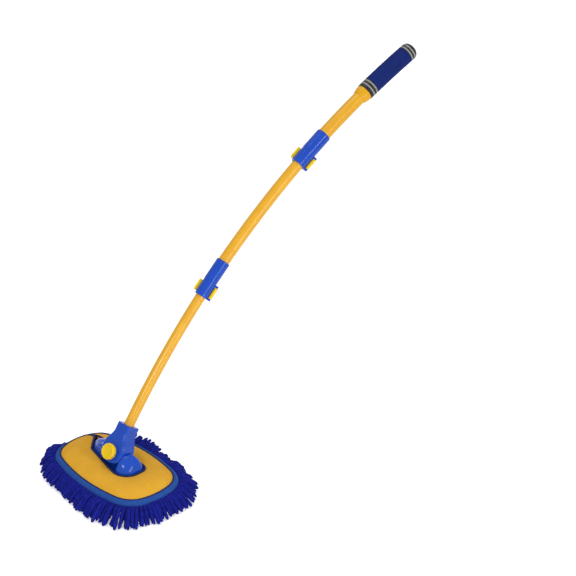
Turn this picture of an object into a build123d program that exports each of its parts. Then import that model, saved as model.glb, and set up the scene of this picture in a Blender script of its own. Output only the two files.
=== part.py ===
from build123d import *
import math
import os

# Car wash brush: an oval chenille pad on a tilting neck, and a bowed three-section pole.
# Millimetres. The origin is the centre of the washing face, +X runs along the pad, +Z is up,
# and the pole leans towards +Y.

# Fits and shared allowances
running_gap = 0.05  # radial clearance of a shaft, sleeve or pin in its hole
slide_gap = 0.08  # radial clearance of a clamp collar on its tube
soft_gap = 0.3  # between a soft piece and its neighbour
side_gap = 0.8  # neck to cheek, each side
overrun = 2.0  # how far a cut runs past the face it opens

# Pad outline at the yellow edge, in plan
pad_half_length = 127.0
pad_half_width = 82.0
pad_side_radius = 330.0
pad_widest_shift = 12.0  # the pad is a little fuller towards +X
front_end_radius = 150.0
front_corner_radius = 52.0
back_end_radius = 105.0
back_corner_radius = 46.0

# Pad build-up from the washing face
pile_height = 26.0
backing_thickness = 2.5
rim_rise = 11.5  # from the backing up to the yellow edge
rim_width = 11.0
rim_round = 9.0
dome_rise = 13.0
dome_run = 40.0  # from the edge inwards to the flat top
dome_step_shares = ((0.0, 0.0), (0.28, 0.52), (0.62, 0.88), (1.0, 1.0))  # of run, of rise
cover_thickness = 2.5
foam_inset = 1.0

# Keyhole in the cover: round the hinge base, with a slit that runs out to the rim
opening_corners = ((65.5, -43.7), (65.5, 33.0), (-93.5, 33.0), (-98.0, 26.0), (-66.0, -8.6))
opening_radii = (34.0, 18.0, 7.0, 4.9, 12.0)
slit_mouth_radii = (10.0, 14.0)  # where the far and the near lip leave the opening
slit_bearing = 160.0
piping_width = 3.8
piping_proud = 1.6
piping_depth = 3.5

# Frame plate inside the pad
plate_inset = 8.0
plate_thickness = 3.5
plate_lip_height = 5.0
plate_rib_width = 2.4
plate_rib_offset = 44.0
plate_cross_rib_count = 5
plate_cross_rib_pitch = 42.0
plate_window_length = 34.0
plate_window_width = 16.0
plate_window_across = 53.0
plate_window_along = 62.0

# Hinge base and its cheeks
hinge_above_rim = 33.0
base_gap = 0.4  # from the piping to the base
base_back_reach = 74.0
base_top_below_hinge = 25.0
base_edge_round = 1.5
base_web = 3.0
base_boss_wall = 1.5
base_rib_gap = 2.0  # from the base to the plate's ribs
stop_rib_below_hinge = 12.6  # meets the neck's underside at the lowest tilt
stop_rib_inner = 17.0
stop_rib_thickness = 4.0
stop_rib_half_length = 28.0
cheek_inner = 30.5
cheek_setback = 0.4  # from the base's edge to the foot of a cheek
cheek_start = 20.0  # the plan starts here, inside the neck's place, and is cut off at cheek_inner
cheek_top_above_hinge = 13.5
cheek_rise_shares = (0.0, 0.30, 0.62, 0.86, 1.0)
cheek_along_shares = (1.0, 0.975, 0.87, 0.66, 0.36)  # the plan shrinks towards the hinge's middle
right_cheek_across_shares = (1.0, 0.88, 0.66, 0.48, 0.26)
left_cheek_across_shares = cheek_along_shares
left_cheek_corners = ((-20.0, -40.0), (-20.0, 26.0), (-42.0, 26.0), (-63.0, 10.0), (-63.0, -40.0))
left_cheek_radii = (0.0, 0.0, 20.0, 10.0, 0.0)
post_half_width = 6.6
post_outer = 44.0
tongue_side = 9.0
tongue_length = 5.0
pin_radius = 4.0
pin_end_wall = 2.5
sleeve_radius = 8.0
cap_screw_radius = 1.75
cap_screw_head_radius = 3.4
cap_screw_head_height = 2.0
cap_screw_spots = ((52.0, 3.0), (38.0, 17.0))
cap_screw_reach = 24.0
base_screw_along = 22.0
base_screw_across = 11.0
base_screw_reach = 9.0

# Neck, in the pole's frame: x across, y along the pole, z out of the knob side
neck_half_width = cheek_inner - side_gap
neck_half_depth = 17.0
neck_heel_angle = 20.0  # where the round underside meets the heel
neck_back = 22.0
neck_shoulder_back = 11.0
neck_shoulder_front = 8.0
neck_mouth = 64.0
neck_mouth_half_width = 16.0
neck_throat_start = 50.0
neck_bend_shares = (0.45, 0.45)  # how far the taper's handles reach along its length
neck_edge_round = 4.0
neck_wall = 3.5
neck_pocket_start = 16.0
neck_rib_width = 2.0
neck_rib_at = 28.0
socket_floor = 24.0
socket_wall = 3.6
tube_screw_at = 50.0
tube_screw_radius = 1.75
tube_screw_head_radius = 3.5
tube_screw_head_height = 2.4
tube_screw_inside = 3.0

# Tilt lock: knob, screw, nut and friction shoe on the neck's z axis
flange_radius = 18.0
flange_height = 2.3
knob_radius = 15.5
knob_height = 9.5
knob_lift = 0.5
knob_scallops = 12
knob_scallop_radius = 2.4
knob_scallop_depth = 1.1
knob_edge_round = 3.0
knob_dish_radius = 10.0
knob_dish_depth = 0.8
screw_radius = 4.0
screw_head_across = 13.0
screw_head_height = 5.3
screw_way = 0.2  # clearance of the screw in the flange
screw_pitch = 1.25
screw_turns = 1.5
nut_across = 13.0
nut_height = 4.2
shoe_across = 12.9
shoe_top = 10.6
shoe_stop_gap = 0.125  # left under the nut when the knob is fully slack

# Pole: three tubes on one arc, stations measured along it from the hinge
pole_pitch = 59.0
bow_radius = 1545.0
tube_wall = 1.2
lower_radius = 11.0
mid_radius = 12.5
upper_radius = 14.0
lower_end = 480.0
mid_end = 820.0
bush_length = 14.0
bush_plug = 16.0
bush_wall = 2.0
bush_gap = 0.1

# Cam clamps, one on each tube joint
lower_clamp_at = 366.5
upper_clamp_at = 704.5
collar_length = 36.0
collar_wall = 3.4
collar_slot = 2.0
collar_slot_turn = 40.0
clamp_sleeve_length = 49.0
clamp_sleeve_wall = 2.3
clamp_sleeve_round = 1.5
clamp_step_round = 0.6
lever_side = 127.0  # turn of the pin about the tube, from the knob side towards +X
lever_gap = 0.4
lever_thickness = 3.2
lever_width = 25.4
lever_edge = 0.7
knuckle_radius = 3.8
knuckle_web = 4.6
ear_radius = 3.1
ear_thickness = 4.6
ear_gap = 0.3
lever_pin_radius = 1.5
tab_rise = 3.2
tab_length = 11.0
tab_recess_depth = 2.0
tab_border = 2.2
tab_end_border = 3.3

# Grip
grip_at = 900.0
grip_collar_length = 17.0
grip_collar_small = 15.2
grip_collar_large = 17.9
grip_collar_flare = 9.0
ferrule_length = 21.0
grip_radius = 19.0
foam_length = 102.0
cap_length = 22.0
cap_dome = 12.0
cap_seat = 12.0  # how far the tube runs into the cap
cap_spigot = 11.0
band_width = 3.4
band_depth = 1.0
ferrule_band_at_shares = (0.42, 0.84)  # band centres along the ferrule
cap_band_at_shares = (0.12, 0.46)  # band centres along the cap

# Chenille: an upper and a lower row round the rim, and the pile underneath
fringe_count = 108
fringe_thickness = 5.6
fringe_split_shares = (0.16, 0.36, 0.67, 0.86)  # where the four fringe pieces meet
upper_reach = 35.0
upper_drop = 21.5
upper_root = 7.0
upper_sink = 3.2
lower_reach = 21.0
lower_drop = 21.5
lower_root = -1.0
upper_path_shares = ((0.0, 0.0), (0.38, 0.10), (0.72, 0.48), (1.0, 1.0))  # of reach, of drop
lower_path_shares = ((0.0, 0.0), (0.42, 0.45), (1.0, 1.0))
fringe_sway_shares = (0.06, 0.05)  # of reach and of drop, strand to strand
fringe_sway_turns = (2.4, 1.7)
fringe_sway_beat = 0.37
fringe_hang_shares = (0.42, 0.30)  # how much the reach falls and the drop grows at the slit corner
fringe_hang_at = (0.40, 0.065)  # share of the outline, and how far it spreads
fringe_lift_share = 1.5  # how much of the drop is lost where the far side stands up
fringe_lift_at = (0.27, 0.085)
fringe_end_share = 0.03  # of the strand pitch, kept clear at each end of a fringe piece
fringe_foot = 0.9  # lowest tip above the washing face
slice_inner = 2.0
slice_outer = 9.3
slice_thickness = 3.4
pile_pitch = 14.2
pile_thickness = 8.6
pile_turns = (0.0, 20.0)
pile_inset = 11.5
pile_trim = 0.5
pile_split_column = 3.5  # where the three pile pieces meet, between two columns of strands

# Derived heights
backing_top = pile_height + backing_thickness
plate_top = backing_top + plate_thickness
foam_floor = plate_top + plate_lip_height
rim_height = backing_top + rim_rise
dome_top = rim_height + dome_rise
hinge_height = rim_height + hinge_above_rim
base_top = hinge_height - base_top_below_hinge
roof = hinge_height + cheek_top_above_hinge
knob_side = neck_half_depth + flange_height
nut_floor = shoe_top + screw_pitch * screw_turns + shoe_stop_gap
knob_floor = knob_side + knob_lift
knuckle_start = ear_thickness + ear_gap
knuckle_stop = knuckle_start + lever_width
ferrule_at = grip_at + grip_collar_length
foam_at = ferrule_at + ferrule_length
cap_at = foam_at + foam_length
upper_end = cap_at + cap_seat
pile_column_pitch = pile_pitch * math.sqrt(3) / 2
pole_frame = Location((0, 0, hinge_height), (pole_pitch, 0, 0))
bottom_up = (Align.CENTER, Align.CENTER, Align.MIN)


# Pad outline

def blend_centre(side_centre, side_radius, end_centre, end_radius, corner_radius, way):
    """Centre of the corner arc tangent inside the side and the end arc, on the +X or -X side."""
    dx = end_centre[0] - side_centre[0]
    dy = end_centre[1] - side_centre[1]
    apart = math.hypot(dx, dy)
    from_side = side_radius - corner_radius
    from_end = end_radius - corner_radius
    along = (from_side**2 - from_end**2 + apart**2) / (2 * apart)
    across = math.sqrt(from_side**2 - along**2)
    ux, uy = dx / apart, dy / apart
    one = (side_centre[0] + ux * along - uy * across, side_centre[1] + uy * along + ux * across)
    two = (side_centre[0] + ux * along + uy * across, side_centre[1] + uy * along - ux * across)
    return one if one[0] * way > two[0] * way else two


def bearing(origin, point):
    return math.degrees(math.atan2(point[1] - origin[1], point[0] - origin[0]))


def pad_arcs():
    """The outline's eight arcs, anticlockwise from the middle of the +X end."""
    side = (pad_widest_shift, pad_half_width - pad_side_radius)
    front = (pad_half_length - front_end_radius, 0.0)
    back = (back_end_radius - pad_half_length, 0.0)
    front_corner = blend_centre(
        side, pad_side_radius, front, front_end_radius, front_corner_radius, 1
    )
    back_corner = blend_centre(side, pad_side_radius, back, back_end_radius, back_corner_radius, -1)
    front_turn = bearing(front, front_corner)
    side_in = bearing(side, front_corner)
    side_out = bearing(side, back_corner)
    back_turn = bearing(back, back_corner)
    upper = [
        (front, front_end_radius, 0.0, front_turn),
        (front_corner, front_corner_radius, front_turn, side_in),
        (side, pad_side_radius, side_in, side_out),
        (back_corner, back_corner_radius, side_out, back_turn),
        (back, back_end_radius, back_turn, 180.0),
    ]
    lower = [
        ((centre[0], -centre[1]), radius, 360.0 - stop, 360.0 - start)
        for centre, radius, start, stop in reversed(upper)
    ]
    return upper + lower


outline_arcs = pad_arcs()


def pad_face(grow=0.0, height=0.0):
    edges = [
        CenterArc((cx, cy, height), radius + grow, start, stop - start)
        for (cx, cy), radius, start, stop in outline_arcs
    ]
    return make_face(Wire(edges))


def pad_slab(grow, low, high):
    return extrude(pad_face(grow, low), amount=high - low, dir=(0, 0, 1))


def outline_point(share, grow=0.0):
    """Point on the outline at a share of its length, grown outwards, and its outward angle."""
    lengths = [radius * math.radians(stop - start) for _, radius, start, stop in outline_arcs]
    left = (share % 1.0) * sum(lengths)
    for (centre, radius, start, stop), length in zip(outline_arcs, lengths):
        if left <= length:
            break
        left -= length
    angle = math.radians(start) + left / radius
    reach = radius + grow
    return centre[0] + reach * math.cos(angle), centre[1] + reach * math.sin(angle), angle


# Cover, its bindings and the foam

def dome():
    sections = [
        pad_face(-dome_run * run, rim_height + dome_rise * rise) for run, rise in dome_step_shares
    ]
    return loft(sections, ruled=False)


def rounded(corners, radii):
    """A polygon with its own radius at each corner."""
    face = Polygon(*corners, align=None)
    for corner, radius in zip(corners, radii):
        if radius:
            nearest = face.vertices().sort_by_distance((*corner, 0))[0]
            face = fillet(nearest, radius)
    return face


def keyhole_face(inset=0.0):
    """The opening with its slit, whose two lips run out past the rim side by side."""
    front_near, front_far, far_mouth, near_mouth, back_near = opening_corners
    turn = math.radians(slit_bearing)
    out = (pad_half_length * math.cos(turn), pad_half_length * math.sin(turn))
    far_end = (far_mouth[0] + out[0], far_mouth[1] + out[1])
    near_end = (near_mouth[0] + out[0], near_mouth[1] + out[1])
    corners = (front_near, front_far, far_mouth, far_end, near_end, near_mouth, back_near)
    far_radius, near_radius = slit_mouth_radii
    radii = (*opening_radii[:2], far_radius, 0.0, 0.0, near_radius, opening_radii[-1])
    face = rounded(corners, radii)
    return offset(face, -inset) if inset else face


def opening_face(inset):
    """The opening without its slit, drawn in by an inset."""
    return offset(rounded(opening_corners, opening_radii), -inset)


def keyhole_prism(inset, low, high):
    return Pos(0, 0, low) * extrude(keyhole_face(inset), amount=high - low)


def shifted(shape, rise):
    return Pos(0, 0, rise) * shape


def make_cover_top(crown):
    block = crown + pad_slab(0.0, rim_height - cover_thickness, rim_height)
    shell = block - shifted(crown, -cover_thickness)
    return shell - keyhole_prism(0.0, rim_height - cover_thickness - overrun, dome_top + overrun)


def make_opening_binding(crown):
    band = shifted(crown, piping_proud) - shifted(crown, -piping_depth)
    ring = keyhole_prism(0.0, foam_floor, dome_top + overrun) - keyhole_prism(
        piping_width, foam_floor - overrun, dome_top + 2 * overrun
    )
    return ring & band & pad_slab(-foam_inset, foam_floor, dome_top + overrun)


def make_rim_binding():
    ring = pad_slab(rim_width, backing_top, rim_height) - pad_slab(
        0.0, backing_top - overrun, rim_height + overrun
    )
    top_edges = ring.faces().sort_by(Axis.Z)[-1].outer_wire().edges()
    return fillet(top_edges, rim_round)


def make_pad_foam(crown):
    body = shifted(crown, -cover_thickness - soft_gap) & pad_slab(
        -foam_inset, foam_floor, dome_top + overrun
    )
    return body - keyhole_prism(0.0, foam_floor - overrun, dome_top + overrun)


# Frame plate and hinge base

def base_plan(inset=0.0):
    """The hinge base fills the opening inside its piping, short of the slit's mouth."""
    plan = opening_face(piping_width + base_gap + inset)
    reach = pad_half_length + base_back_reach - inset
    return plan & Pos(reach / 2 - base_back_reach + inset, 0) * Rectangle(reach, 2 * pad_half_width)


def base_block(inset, low, high):
    return Pos(0, 0, low) * extrude(base_plan(inset), amount=high - low)


def screw_spots():
    """Places of the screws that hold the base to the plate, and the cheek caps to the base."""
    base = [(i * base_screw_along, j * base_screw_across) for i in (-1, 1) for j in (-1, 1)]
    caps = [(side * x, y) for side in (-1, 1) for x, y in cap_screw_spots]
    return base, caps


def make_frame_plate():
    plate = pad_slab(-plate_inset, backing_top, plate_top)
    lip = pad_slab(-plate_inset, plate_top, foam_floor) - pad_slab(
        -plate_inset - plate_rib_width, plate_top - overrun, foam_floor + overrun
    )
    inside = pad_slab(-plate_inset, plate_top, foam_floor)
    ribs = []
    for side in (-1, 1):
        ribs.append(Pos(0, side * plate_rib_offset) * Rectangle(2 * pad_half_length, plate_rib_width))
    for index in range(plate_cross_rib_count):
        place = (index - (plate_cross_rib_count - 1) / 2) * plate_cross_rib_pitch
        ribs.append(Pos(place, 0) * Rectangle(plate_rib_width, 2 * pad_half_width))
    rib_walls = Pos(0, 0, plate_top) * extrude(Sketch() + ribs, amount=plate_lip_height)
    well = base_block(-base_rib_gap, plate_top, foam_floor + overrun)
    plate = plate + lip + ((rib_walls & inside) - well)
    for i in (-1, 0, 1):
        for j in (-1, 1):
            spot = Pos(i * plate_window_along, j * plate_window_across)
            window = SlotOverall(plate_window_length, plate_window_width)
            cut = spot * Pos(0, 0, backing_top - overrun) * extrude(
                window, amount=plate_thickness + 2 * overrun
            )
            plate -= cut & pad_slab(-plate_inset - 2 * plate_rib_width, backing_top - overrun, plate_top)
    base_spots, cap_spots = screw_spots()
    seat = cap_screw_head_height + 2 * running_gap
    for x, y in base_spots + cap_spots:
        plate -= Pos(x, y, backing_top - overrun) * Cylinder(
            cap_screw_head_radius + running_gap, seat + overrun, align=bottom_up
        )
        plate -= Pos(x, y, backing_top) * Cylinder(
            cap_screw_radius + running_gap, plate_thickness + overrun, align=bottom_up
        )
    return plate


def beyond_cheek(side, low, high):
    """Everything on one side from the neck's gap outwards, to split off a cheek."""
    reach = 2 * pad_half_length
    return Pos(side * (cheek_inner + reach / 2), 0, (low + high) / 2) * Box(reach, reach, high - low)


def post_block(side, gap=0.0):
    """The upright that carries one end of the hinge pin, up to the pin's centre line."""
    inner = cheek_inner - gap
    outer = post_outer + gap
    height = hinge_height - plate_top
    return Pos(side * (inner + outer) / 2, 0, plate_top + height / 2) * Box(
        outer - inner, 2 * (post_half_width + gap), height
    )


def hinge_way():
    """The pin's bore and the square seats of the sleeve's tongues, in both posts."""
    bore = Rot(0, 90, 0) * Cylinder(pin_radius + running_gap, 2 * (post_outer - pin_end_wall))
    side = tongue_side + 2 * running_gap
    seats = Box(2 * (cheek_inner + tongue_length + running_gap), side, side)
    return Pos(0, 0, hinge_height) * (bore + seats)


def make_hinge_base():
    base = base_block(0.0, plate_top, base_top)
    base = fillet(base.faces().sort_by(Axis.Z)[-1].edges(), base_edge_round)
    hollow = base_block(base_web, plate_top - overrun, base_top - base_web)
    for side in (-1, 1):
        hollow -= beyond_cheek(side, plate_top - 2 * overrun, base_top)
    height = base_top - plate_top
    hollow -= Pos(0, 0, plate_top + height / 2) * Box(2 * base_screw_along, base_web, 2 * height)
    base_spots, cap_spots = screw_spots()
    for x, y in base_spots:
        hollow -= Pos(x, y, plate_top + height / 2) * Cylinder(
            cap_screw_head_radius + base_boss_wall, 2 * height
        )
    base -= hollow
    base += [post_block(side) for side in (-1, 1)]
    rib_height = hinge_height - stop_rib_below_hinge - base_top
    base += Pos(0, stop_rib_inner + stop_rib_thickness / 2, base_top + (rib_height - overrun) / 2) * Box(
        2 * stop_rib_half_length, stop_rib_thickness, rib_height + overrun
    )
    base -= hinge_way()
    for spots, reach in ((base_spots, base_screw_reach), (cap_spots, height)):
        for x, y in spots:
            base -= Pos(x, y, plate_top + reach / 2) * Cylinder(
                cap_screw_radius + running_gap, reach + overrun
            )
    return base


def cheek_plan(side):
    if side > 0:
        region = Pos(cheek_start + pad_half_length, 0) * Rectangle(
            2 * pad_half_length, 2 * pad_half_width
        )
    else:
        region = rounded(left_cheek_corners, left_cheek_radii)
    return base_plan(cheek_setback) & region


def make_cheek_cap(side):
    """A cover over one post that swells out to the base; its notch closes on the pin from above."""
    plan = cheek_plan(side)
    across_shares = right_cheek_across_shares if side > 0 else left_cheek_across_shares
    sections = []
    for rise, along, across in zip(cheek_rise_shares, cheek_along_shares, across_shares):
        section = scale(plan, by=(along, across, 1))
        sections.append((Pos(0, 0, base_top + rise * (roof - base_top)) * section).face())
    block = loft(sections)
    block &= beyond_cheek(side, base_top, roof + overrun)
    block -= post_block(side, running_gap)
    block -= hinge_way()
    depth = plate_top + cap_screw_reach - base_top
    for x, y in screw_spots()[1]:
        block -= Pos(x, y, base_top + depth / 2) * Cylinder(cap_screw_radius + running_gap, depth)
    return block


def screw_from_below(x, y, reach):
    head = Pos(x, y, backing_top + cap_screw_head_height / 2 + running_gap) * Cylinder(
        cap_screw_head_radius, cap_screw_head_height
    )
    start = backing_top + cap_screw_head_height
    stop = plate_top + reach - running_gap
    shank = Pos(x, y, (start + stop) / 2) * Cylinder(cap_screw_radius, stop - start)
    return head + shank


def make_base_screws():
    return Compound(children=[screw_from_below(x, y, base_screw_reach) for x, y in screw_spots()[0]])


def make_cap_screws():
    return Compound(children=[screw_from_below(x, y, cap_screw_reach) for x, y in screw_spots()[1]])


def make_hinge_pin():
    length = 2 * (post_outer - pin_end_wall - running_gap)
    return Pos(0, 0, hinge_height) * Rot(0, 90, 0) * Cylinder(pin_radius, length)


def make_hinge_sleeve():
    barrel = Rot(0, 90, 0) * Cylinder(sleeve_radius, 2 * (cheek_inner - running_gap))
    tongues = Box(2 * (cheek_inner + tongue_length), tongue_side, tongue_side)
    sleeve = barrel + tongues
    sleeve -= Rot(0, 90, 0) * Cylinder(
        pin_radius + running_gap, 2 * (cheek_inner + tongue_length + overrun)
    )
    return Pos(0, 0, hinge_height) * sleeve


# Neck and tilt lock, in the pole's frame

def arc_point(station):
    turn = station / bow_radius
    return (0.0, bow_radius * math.sin(turn), bow_radius * (math.cos(turn) - 1))


def station_plane(station):
    """Plane across the pole: local x out of the knob side, y towards +X, z along the pole."""
    turn = station / bow_radius
    return Plane(
        origin=arc_point(station),
        x_dir=(0, math.sin(turn), math.cos(turn)),
        z_dir=(0, math.cos(turn), -math.sin(turn)),
    )


def bowed(face, start, stop):
    """A face drawn at a station's plane, carried along the pole's arc to another station."""
    centre = Axis((0, 0, -bow_radius), (-1, 0, 0))
    turn = math.degrees((stop - start) / bow_radius)
    return revolve(station_plane(start) * face, axis=centre, revolution_arc=turn)


def bowed_tube(outer, inner, start, stop):
    return bowed(Circle(outer) - Circle(inner), start, stop)


def bowed_rod(radius, start, stop):
    return bowed(Circle(radius), start, stop)


def neck_outline(inset=0.0):
    """The neck seen on its knob side: a wide round hinge end that tapers to the socket."""
    wide = neck_half_width - inset
    slim = neck_mouth_half_width - inset
    taper = neck_throat_start - neck_shoulder_front
    near_handle = neck_shoulder_front + taper * neck_bend_shares[0]
    far_handle = neck_throat_start - taper * neck_bend_shares[1]
    back = ThreePointArc(
        (-wide, -neck_shoulder_back), (0, -neck_back + inset), (wide, -neck_shoulder_back)
    )
    right = Line((wide, -neck_shoulder_back), (wide, neck_shoulder_front))
    right_taper = Bezier(
        (wide, neck_shoulder_front), (wide, near_handle), (slim, far_handle), (slim, neck_throat_start)
    )
    right_mouth = Line((slim, neck_throat_start), (slim, neck_mouth))
    mouth = Line((slim, neck_mouth), (-slim, neck_mouth))
    left_mouth = Line((-slim, neck_mouth), (-slim, neck_throat_start))
    left_taper = Bezier(
        (-slim, neck_throat_start), (-slim, far_handle), (-wide, near_handle), (-wide, neck_shoulder_front)
    )
    left = Line((-wide, neck_shoulder_front), (-wide, -neck_shoulder_back))
    return make_face(
        Wire([back, right, right_taper, right_mouth, mouth, left_mouth, left_taper, left])
    )


def neck_side_profile():
    """Side view in y and z: flat on the knob side, round about the hinge underneath."""
    barrel = Circle(neck_half_depth)
    arm = Pos(neck_mouth / 2, 0) * Rectangle(neck_mouth, 2 * neck_half_depth)
    heel_low = neck_half_depth * math.sin(math.radians(neck_heel_angle))
    heel = Pos(-neck_back / 2, (heel_low + neck_half_depth) / 2) * Rectangle(
        neck_back, neck_half_depth - heel_low
    )
    return barrel + arm + heel


def make_neck():
    block = Pos(0, 0, -neck_half_depth) * extrude(neck_outline(), amount=2 * neck_half_depth)
    top_edges = block.faces().sort_by(Axis.Z)[-1].edges()
    top_edges = top_edges.filter_by(lambda edge: edge.center().Y < neck_mouth - overrun)
    block = fillet(top_edges, neck_edge_round)
    side_frame = Plane(origin=(-neck_half_width, 0, 0), x_dir=(0, 1, 0), z_dir=(1, 0, 0))
    block &= extrude(side_frame * neck_side_profile(), amount=2 * neck_half_width)
    flange = Pos(0, 0, neck_half_depth + flange_height / 2) * Cylinder(flange_radius, flange_height)
    block += flange
    inside = neck_outline(neck_wall) & (
        Pos(0, neck_pocket_start + neck_mouth) * Rectangle(4 * neck_half_width, 2 * neck_mouth)
    )
    inside -= Rectangle(2 * (lower_radius + socket_wall), 4 * neck_mouth)
    inside -= Pos(0, neck_rib_at) * Rectangle(4 * neck_half_width, neck_rib_width)
    pocket_depth = 2 * neck_half_depth - neck_wall
    block -= Pos(0, 0, -neck_half_depth - overrun) * extrude(inside, amount=pocket_depth + overrun)
    block -= bowed_rod(lower_radius + running_gap, socket_floor, neck_mouth + overrun)
    block -= Rot(0, 90, 0) * Cylinder(sleeve_radius + running_gap, 2 * neck_half_width + overrun)
    well = RegularPolygon(nut_across / 2 + running_gap, 6, major_radius=False)
    block -= extrude(well, amount=nut_floor + nut_height)
    block -= Cylinder(screw_radius + screw_way, 2 * knob_side, align=bottom_up)
    under = Pos(0, tube_screw_at, -neck_half_depth)
    drill = tube_screw_tip() + neck_half_depth
    block -= under * Cylinder(tube_screw_radius + running_gap, drill, align=bottom_up)
    block -= under * Cylinder(
        tube_screw_head_radius + running_gap, tube_screw_head_height, align=bottom_up
    )
    return block


def tube_screw_tip():
    """Height that the screw reaches inside the lower tube."""
    return arc_point(tube_screw_at)[2] - lower_radius + tube_screw_inside


def make_tube_screw():
    head = Cylinder(tube_screw_head_radius, tube_screw_head_height, align=bottom_up)
    length = tube_screw_tip() - running_gap + neck_half_depth
    shank = Cylinder(tube_screw_radius, length, align=bottom_up)
    return Pos(0, tube_screw_at, -neck_half_depth) * (head + shank)


def make_friction_shoe():
    """A hexagonal block that can't turn in its well; its saddle presses on the hinge sleeve."""
    shoe = extrude(RegularPolygon(shoe_across / 2, 6, major_radius=False), amount=shoe_top)
    return shoe - Rot(0, 90, 0) * Cylinder(sleeve_radius + running_gap, 2 * shoe_across)


def make_knob_nut():
    nut = extrude(RegularPolygon(nut_across / 2, 6, major_radius=False), amount=nut_height)
    nut -= Cylinder(screw_radius + running_gap, nut_height, align=bottom_up)
    return Pos(0, 0, nut_floor) * nut


def make_knob_screw():
    shank = Pos(0, 0, shoe_top) * Cylinder(screw_radius, knob_floor - shoe_top, align=bottom_up)
    hexagon = RegularPolygon(screw_head_across / 2, 6, major_radius=False)
    return shank + Pos(0, 0, knob_floor) * extrude(hexagon, amount=screw_head_height)


def make_clamp_knob():
    outline = Circle(knob_radius)
    out = knob_radius + knob_scallop_radius - knob_scallop_depth
    for index in range(knob_scallops):
        outline -= Rot(0, 0, index * 360 / knob_scallops) * Pos(out, 0) * Circle(knob_scallop_radius)
    prism = extrude(outline, amount=knob_height)
    domed = Cylinder(knob_radius, knob_height, align=bottom_up)
    domed = fillet(domed.edges().sort_by(Axis.Z)[-1], knob_edge_round)
    knob = prism & domed
    knob -= Pos(0, 0, knob_height - knob_dish_depth) * Cylinder(
        knob_dish_radius, knob_dish_depth + overrun, align=bottom_up
    )
    socket = RegularPolygon(screw_head_across / 2 + running_gap, 6, major_radius=False)
    knob -= extrude(socket, amount=screw_head_height)
    return Pos(0, 0, knob_floor) * knob


# Pole

def make_lower_tube():
    tube = bowed_tube(lower_radius, lower_radius - tube_wall, socket_floor, lower_end)
    drill = arc_point(tube_screw_at)[2] - lower_radius
    return tube - Pos(0, tube_screw_at, drill) * Cylinder(
        tube_screw_radius + running_gap, 2 * tube_screw_inside
    )


def shoulder_of(clamp_at):
    return clamp_at + collar_length


def make_mid_tube():
    return bowed_tube(mid_radius, mid_radius - tube_wall, shoulder_of(lower_clamp_at), mid_end)


def make_upper_tube():
    return bowed_tube(upper_radius, upper_radius - tube_wall, shoulder_of(upper_clamp_at), upper_end)


def make_bush(tube_radius, outer_radius, tube_end):
    """Plastic guide on a tube's inner end: a plug in the bore and a ring that runs in the next tube."""
    guide = outer_radius - tube_wall - bush_gap
    plug = tube_radius - tube_wall - running_gap
    bore = plug - bush_wall
    ring = bowed_tube(guide, bore, tube_end, tube_end + bush_length)
    return ring + bowed_tube(plug, bore, tube_end - bush_plug, tube_end)


def pin_distance(collar_radius):
    return collar_radius + lever_gap + knuckle_radius


def make_clamp_body(clamp_at, small_radius, big_radius):
    collar_radius = small_radius + collar_wall
    sleeve_outer = big_radius + clamp_sleeve_wall
    shoulder = shoulder_of(clamp_at)
    stop = shoulder + clamp_sleeve_length
    sleeve = Cylinder(sleeve_outer, clamp_sleeve_length)
    sleeve = fillet(sleeve.edges().sort_by(Axis.Z)[-1], clamp_sleeve_round)
    sleeve = fillet(sleeve.edges().sort_by(Axis.Z)[0], clamp_step_round)
    body = station_plane((shoulder + stop) / 2).location * sleeve
    collar_frame = station_plane(shoulder).location * Rot(0, 0, lever_side)
    collar = Pos(0, 0, -collar_length) * Cylinder(
        collar_radius, collar_length + overrun, align=bottom_up
    )
    reach = pin_distance(collar_radius)
    ear = Pos(reach, 0) * Circle(ear_radius)
    ear += Pos((reach + small_radius) / 2, 0) * Rectangle(reach - small_radius, 2 * ear_radius)
    for start in (0.0, knuckle_stop + ear_gap):
        collar += Pos(0, 0, start - collar_length) * extrude(ear, amount=ear_thickness)
    collar -= Pos(reach, 0, -collar_length - overrun) * Cylinder(
        lever_pin_radius + running_gap, collar_length + 2 * overrun, align=bottom_up
    )
    slot = Rot(0, 0, collar_slot_turn) * Pos(collar_radius, 0, -collar_length / 2 - overrun)
    collar -= slot * Box(2 * collar_wall + overrun, collar_slot, collar_length)
    body += collar_frame * collar
    body -= bowed_rod(small_radius + slide_gap, clamp_at - overrun, shoulder + overrun)
    body -= bowed_rod(big_radius + running_gap, shoulder, stop + overrun)
    return body


def make_lever_pin(clamp_at, small_radius):
    collar_radius = small_radius + collar_wall
    frame = station_plane(shoulder_of(clamp_at)).location * Rot(0, 0, lever_side)
    length = knuckle_stop + ear_gap + ear_thickness
    pin = Cylinder(lever_pin_radius, length, align=bottom_up)
    return frame * Pos(pin_distance(collar_radius), 0, -collar_length) * pin


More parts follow.
